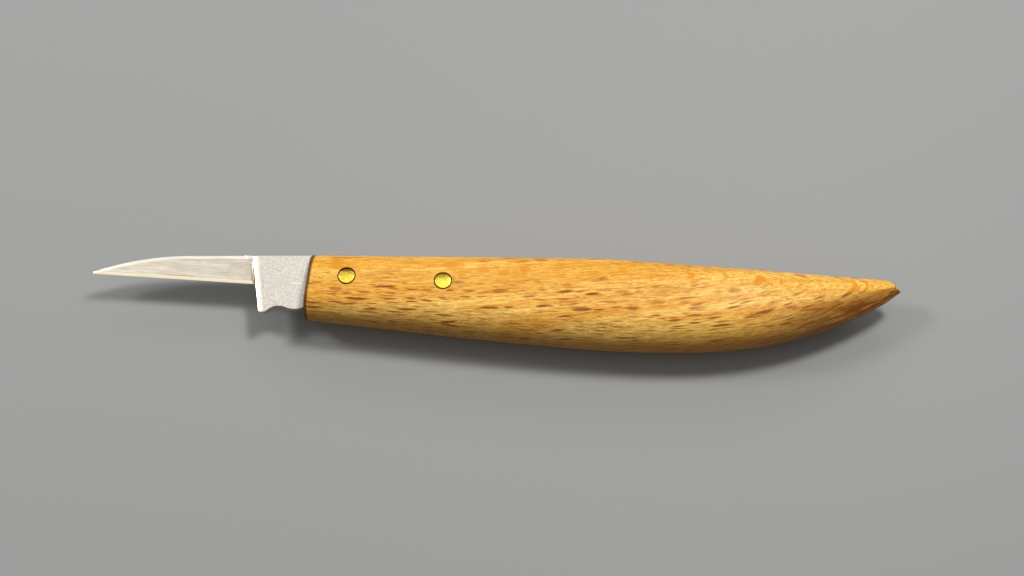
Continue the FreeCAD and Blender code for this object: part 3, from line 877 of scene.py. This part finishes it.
def beech_dirt_and_shade(w, place_mm, facing, wood):
    """Adds painted shade where the wood faces the belly, the front edge's strip of oil-darkened end
    grain with painted shade, the pin rings, the grime on the butt's lower side, and painted shade on
    the butt's lower facet.
    """
    x, y, spineward = w.part(place_mm, 0), w.part(place_mm, 1), w.part(facing, 1)
    # painted shade: the wood turns darker where its surface faces the belly, away from the lights
    painted_underside_shade = w.mul(w.rise(spineward, -0.78, -1.0), 0.6)
    wood = w.mix(painted_underside_shade, wood, colour(128, 78, 22))
    # The dark strip along the front edge is partly end grain darkened by oil and partly painted shade
    # beside the ricasso.
    rough_edge = w.mul(w.noise(place_mm, (0.6, 0.6, 0.6)), 0.35)
    behind_front = w.add(w.add(x, w.mul(y, -math.tan(FRONT_SLANT))), rough_edge)
    wood = w.mix(w.rise(behind_front, 1.15, 0.7, 0.0, 0.92), wood, colour(88, 48, 14))
    for px, py in PIN_PLACES.values():
        ring = w.spot(place_mm, px, py, PIN_RING_RADIUS, PIN_RING_RADIUS, 0.0, 0.93)
        wood = w.mix(w.mul(ring, 0.9), wood, colour(70, 40, 14))
    smear = w.noise(w.turned(place_mm, (0.0, 0.0, -24.0)), (6.0, 0.7, 1.4), 3.0, 0.6)
    grime = w.mul(w.rise(x, 98.0, 124.0), w.rise(spineward, 0.0, -0.5))
    grime = w.mul(grime, w.rise(smear, 0.28, 0.56))
    wood = w.mix(w.mul(grime, 0.9), wood, colour(80, 40, 10))
    shade = w.mul(w.rise(x, 90.0, 118.0), w.rise(spineward, 0.02, -0.22))
    return w.mix(w.mul(shade, 0.45), wood, colour(150, 88, 26))


def beech():
    """Oiled beech: ground, rays, dirt and painted shade, with fine relief from its pores, fibres and
    rays.
    """
    w = Wiring("oiled_beech")
    place_mm = w.drafted()
    grain = beech_grain(w, place_mm)
    facing = w.node("NewGeometry", {}, "Normal")
    tilt = math.radians(RAY_TILT)
    along_rays = w.math("ABSOLUTE", w.dot(facing, (0.0, math.sin(tilt), math.cos(tilt))))
    flat_cut = w.rise(along_rays, 0.985, 0.88)
    wood, fibres, pores = beech_ground(w, grain, flat_cut)
    wood, rays = beech_rays(w, grain, flat_cut, wood)
    marks = strong_rays(w, place_mm, facing)
    wood = w.mix(w.mul(marks, 0.95), wood, colour(140, 58, 4))
    wood = beech_dirt_and_shade(w, place_mm, facing, wood)
    w.set(Base_Color=wood, Specular_IOR_Level=0.14, Coat_Weight=0.03, Coat_Roughness=0.3)
    w.set(Roughness=w.rise(fibres, 0.3, 0.7, 0.4, 0.54))
    relief = w.add(w.mul(w.rise(pores, 0.5, 0.75), -0.7), w.mul(fibres, -0.6))
    relief = w.add(relief, w.mul(w.most([rays, marks]), -0.35))
    w.set(Normal=w.bump(relief, 0.025, 0.8))
    return w.material


# ---------------------------------------------------------------- steel, brass, resin and floor

# Scratches on the ricasso: x, y, half length, half height, degrees.
SCRATCHES = (
    (-2.9, 1.1, 1.9, 0.06, -6.0), (-1.35, 3.4, 3.2, 0.05, 84.0), (-1.0, -0.5, 1.2, 0.07, 70.0),
    (-5.2, 4.8, 1.4, 0.035, 24.0), (-7.4, -1.6, 1.7, 0.035, 100.0),
)


def spine_zone(w, x, y, behind):
    """1 on the bevel along the ground blade's spine."""
    run = w.math("MINIMUM", w.add(x, -ARC_START_X), 0.0)
    line = w.add(w.mul(w.mul(run, run), -0.5 / SPINE_RADIUS), SPINE_LINE)
    under_spine = w.add(line, w.mul(y, -1.0))
    return w.mul(w.rise(under_spine, 0.78, 0.6), w.rise(behind, 0.3, -0.3))


def edge_zone(w, x, y, behind):
    """1 on the bevel along the cutting edge."""
    slope = ALONG_EDGE.y / ALONG_EDGE.x
    over_edge = w.add(w.add(y, w.mul(x, -slope)), slope * TIP.x - TIP.y)
    return w.mul(w.rise(over_edge, 0.68, 0.56), w.rise(behind, 0.0, -0.6))


def polished_colour(w, place_mm, behind, on_edge, brushed, crossed):
    """The ground blade: brushed and mottled, with painted highlights on the edge and spine bevels and
    painted shade in the hollow at the step.
    """
    x, y = w.part(place_mm, 0), w.part(place_mm, 1)
    mottled = w.noise(place_mm, (2.2, 0.5, 1.0), 3.0, 0.6)
    metal = w.mix(w.rise(brushed, 0.3, 0.7), colour(214, 202, 182), colour(240, 230, 212))
    metal = w.mix(w.rise(mottled, 0.4, 0.75, 0.0, 0.5), metal, colour(200, 184, 160))
    worked = w.mul(w.rise(behind, -4.5, -1.0), w.rise(crossed, 0.45, 0.7, 0.0, 0.5))
    metal = w.mix(worked, metal, colour(178, 164, 144))
    # painted highlight: the bevel along the cutting edge is coloured near white
    metal = w.mix(on_edge, metal, colour(255, 242, 208))
    # painted shade: a dark band in the concave hollow in front of the step up to the ricasso, fading
    # towards the spine
    hollow = w.mul(w.rise(behind, -1.15, -0.45), w.rise(behind, 0.1, -0.25))
    hollow = w.mul(hollow, w.rise(y, 6.6, 2.4, 0.15, 1.0))
    metal = w.mix(w.mul(hollow, 0.75), metal, colour(120, 104, 84))
    # painted highlight: the bevel along the spine is coloured near white
    return w.mix(w.mul(spine_zone(w, x, y, behind), 0.8), metal, colour(252, 248, 236))


def matte_colour(w, speckle, crossed, scratches):
    """The ricasso: a speckled grey with crossed grinding lines and bright scratches."""
    metal = w.mix(w.rise(speckle, 0.35, 0.65), colour(166, 160, 151), colour(200, 194, 184))
    metal = w.mix(w.rise(crossed, 0.55, 0.8, 0.0, 0.5), metal, colour(224, 219, 210))
    return w.mix(w.mul(scratches, 0.85), metal, colour(255, 253, 250))


def steel():
    """Ground and polished blade steel, with a matte speckled ricasso."""
    w = Wiring("ground_steel")
    place_mm = w.drafted()
    x, y = w.part(place_mm, 0), w.part(place_mm, 1)
    lean = math.tan(SHOULDER_LEAN)
    behind = w.add(w.add(x, w.mul(y, lean)), -SHOULDER.x - SHOULDER.y * lean)
    uneven = w.mul(w.noise(place_mm, (0.5, 0.7, 0.5), 3.0, 0.6), -1.4)
    on_ricasso = w.rise(w.add(behind, uneven), 0.1, 0.9)
    on_edge = edge_zone(w, x, y, behind)
    brushed = w.noise(w.turned(place_mm, (0.0, 0.0, 3.0)), (8.0, 0.10, 0.3), 3.0, 0.6)
    speckle = w.noise(place_mm, (0.30, 0.26, 0.3), 3.0, 0.7)
    crossed = w.noise(w.turned(place_mm, (0.0, 0.0, 40.0)), (1.6, 0.05, 0.3), 2.0, 0.6)
    scratches = w.most([w.spot(place_mm, *scratch) for scratch in SCRATCHES])
    polished = polished_colour(w, place_mm, behind, on_edge, brushed, crossed)
    matte = matte_colour(w, speckle, crossed, scratches)
    w.set(Base_Color=w.mix(on_ricasso, polished, matte), Metallic=1.0)
    smooth = w.add(w.rise(brushed, 0.3, 0.7, 0.27, 0.36), w.mul(on_edge, 0.2))
    rough = w.add(w.rise(speckle, 0.3, 0.7, 0.46, 0.58), w.mul(scratches, -0.15))
    w.set(Roughness=w.node("MapRange", {"Value": on_ricasso, "To Min": smooth, "To Max": rough}))
    lines = w.bump(brushed, 0.004, 0.6)
    w.set(Normal=w.bump(w.mul(speckle, on_ricasso), 0.012, 0.8, lines))
    return w.material


def brass(name, pin):
    """A brass rod's end, filed across, with random tarnish, a painted dark reflection over its part
    towards the spine and on the sloping flat there, and dark round its rim.
    """
    w = Wiring(name)
    place_mm = w.drafted()
    px, py = PIN_PLACES[pin]
    chord = PIN_FLATS[pin][0]
    filed = w.noise(w.turned(place_mm, (0.0, 0.0, 28.0)), (2.0, 0.07, 1.0), 2.0, 0.6)
    stain = w.noise(place_mm, (0.55, 0.35, 0.5), 3.0, 0.65)
    rising = w.add(w.part(place_mm, 1), -py)
    # painted reflection: the brass turns darker towards the spine, added to the tarnish and to the file
    # marks
    painted_reflection_upward = w.rise(rising, -1.2, 1.9, -0.12, 0.16)
    tarnish_and_reflection = w.add(stain, painted_reflection_upward)
    base = w.mix(w.rise(tarnish_and_reflection, 0.42, 0.66), colour(250, 226, 84), colour(196, 160, 60))
    base = w.mix(w.rise(w.add(filed, painted_reflection_upward), 0.54, 0.72, 0.0, 0.8), base, colour(104, 80, 30))
    # painted reflection: the flat sloping towards the spine is coloured dark
    flat = w.rise(rising, chord - 0.06, chord + 0.06, 0.0, 0.9)
    base = w.mix(flat, base, colour(128, 84, 26))
    rim = w.length(w.inside(place_mm, (px, py, 0.0), (PIN_RADIUS, PIN_RADIUS, FAR)))
    base = w.mix(w.rise(rim, 0.84, 0.91, 0.0, 0.95), base, colour(46, 30, 10))
    w.set(Base_Color=base, Metallic=1.0)
    w.set(Roughness=w.rise(stain, 0.3, 0.7, 0.24, 0.42))
    w.set(Normal=w.bump(filed, 0.008, 0.7))
    return w.material


def resin():
    """The dark bedding resin round the tang."""
    w = Wiring("dark_resin")
    grit = w.noise(w.drafted(), (0.4, 0.4, 0.4), 3.0, 0.6)
    w.set(Base_Color=w.mix(grit, colour(52, 32, 18), colour(84, 56, 32)))
    w.set(Roughness=w.rise(grit, 0.3, 0.7, 0.5, 0.7))
    w.set(Normal=w.bump(grit, 0.03, 0.6))
    return w.material


def pale_floor():
    """An even, pale grey floor."""
    w = Wiring("pale_floor")
    w.set(Base_Color=colour(140, 140, 138), Roughness=0.65)
    return w.material


# ---------------------------------------------------------------- floor, light and camera

FLOOR_HALF = 3.0            # metres, as are the lights' places and sizes
# The camera's aim, a point in the knife's middle plane, and its distance are drafted millimetres.
CAMERA_AIM = Vector((46.25, 0.22))
CAMERA_DISTANCE = 342.75
CAMERA_LEAN = math.radians(19.0)
CAMERA_LENS = 52.73
CAMERA_SENSOR = 36.0


def make_floor():
    """A flat floor at the height on which the knife lies."""
    mesh = bpy.data.meshes.new("studio_floor")
    corners = [(-FLOOR_HALF, -FLOOR_HALF, 0.0), (FLOOR_HALF, -FLOOR_HALF, 0.0),
               (FLOOR_HALF, FLOOR_HALF, 0.0), (-FLOOR_HALF, FLOOR_HALF, 0.0)]
    mesh.from_pydata(corners, [], [(0, 1, 2, 3)])
    mesh.materials.append(pale_floor())
    floor = bpy.data.objects.new("studio_floor", mesh)
    bpy.context.scene.collection.objects.link(floor)


def softbox(name, location, size, power):
    """A rectangular soft light that points at the knife."""
    lamp = bpy.data.lights.new(name, "AREA")
    lamp.shape = "RECTANGLE"
    lamp.size, lamp.size_y = size
    lamp.energy = power
    thing = bpy.data.objects.new(name, lamp)
    thing.location = location
    thing.rotation_euler = (-thing.location).to_track_quat("-Z", "Y").to_euler()
    bpy.context.scene.collection.objects.link(thing)


def light_studio():
    """A dim even world and four soft lights."""
    world = bpy.data.worlds.new("soft_studio")
    world.use_nodes = True
    background = world.node_tree.nodes["Background"]
    background.inputs["Color"].default_value = (0.97, 0.98, 1.0, 1.0)
    background.inputs["Strength"].default_value = 0.24
    bpy.context.scene.world = world
    softbox("overhead_softbox", Vector((0.0, 0.12, 0.74)), (0.8, 0.9), 0.95)
    softbox("main_softbox", Vector((0.24, 0.28, 0.72)), (0.15, 0.15), 4.2)
    softbox("left_softbox", Vector((-0.56, 0.24, 0.58)), (0.16, 0.16), 2.5)
    softbox("back_softbox", Vector((0.0, 0.78, 0.6)), (0.9, 0.3), 1.6)


def make_camera():
    """The camera stands over the handle, leaning back towards the belly's side."""
    camera = bpy.data.objects.new("camera", bpy.data.cameras.new("camera"))
    camera.data.sensor_width = CAMERA_SENSOR
    camera.data.lens = CAMERA_LENS
    back = CAMERA_DISTANCE * math.sin(CAMERA_LEAN)
    camera.location = place(CAMERA_AIM.x, CAMERA_AIM.y - back, CAMERA_DISTANCE * math.cos(CAMERA_LEAN))
    camera.rotation_euler = (CAMERA_LEAN, 0.0, 0.0)
    camera.data.clip_start = 0.01
    bpy.context.scene.collection.objects.link(camera)
    bpy.context.scene.camera = camera


def main():
    """Makes the knife round the CAD frame."""
    make_camera()
    light_studio()
    make_floor()
    make_handle(beech())
    make_blade(steel())
    for name in PIN_PLACES:
        make_pin(name, brass("brass_" + name, name))
    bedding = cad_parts["tang_bedding"]
    bedding.data.materials.clear()
    bedding.data.materials.append(resin())
    bpy.context.scene.view_settings.view_transform = "Standard"


main()
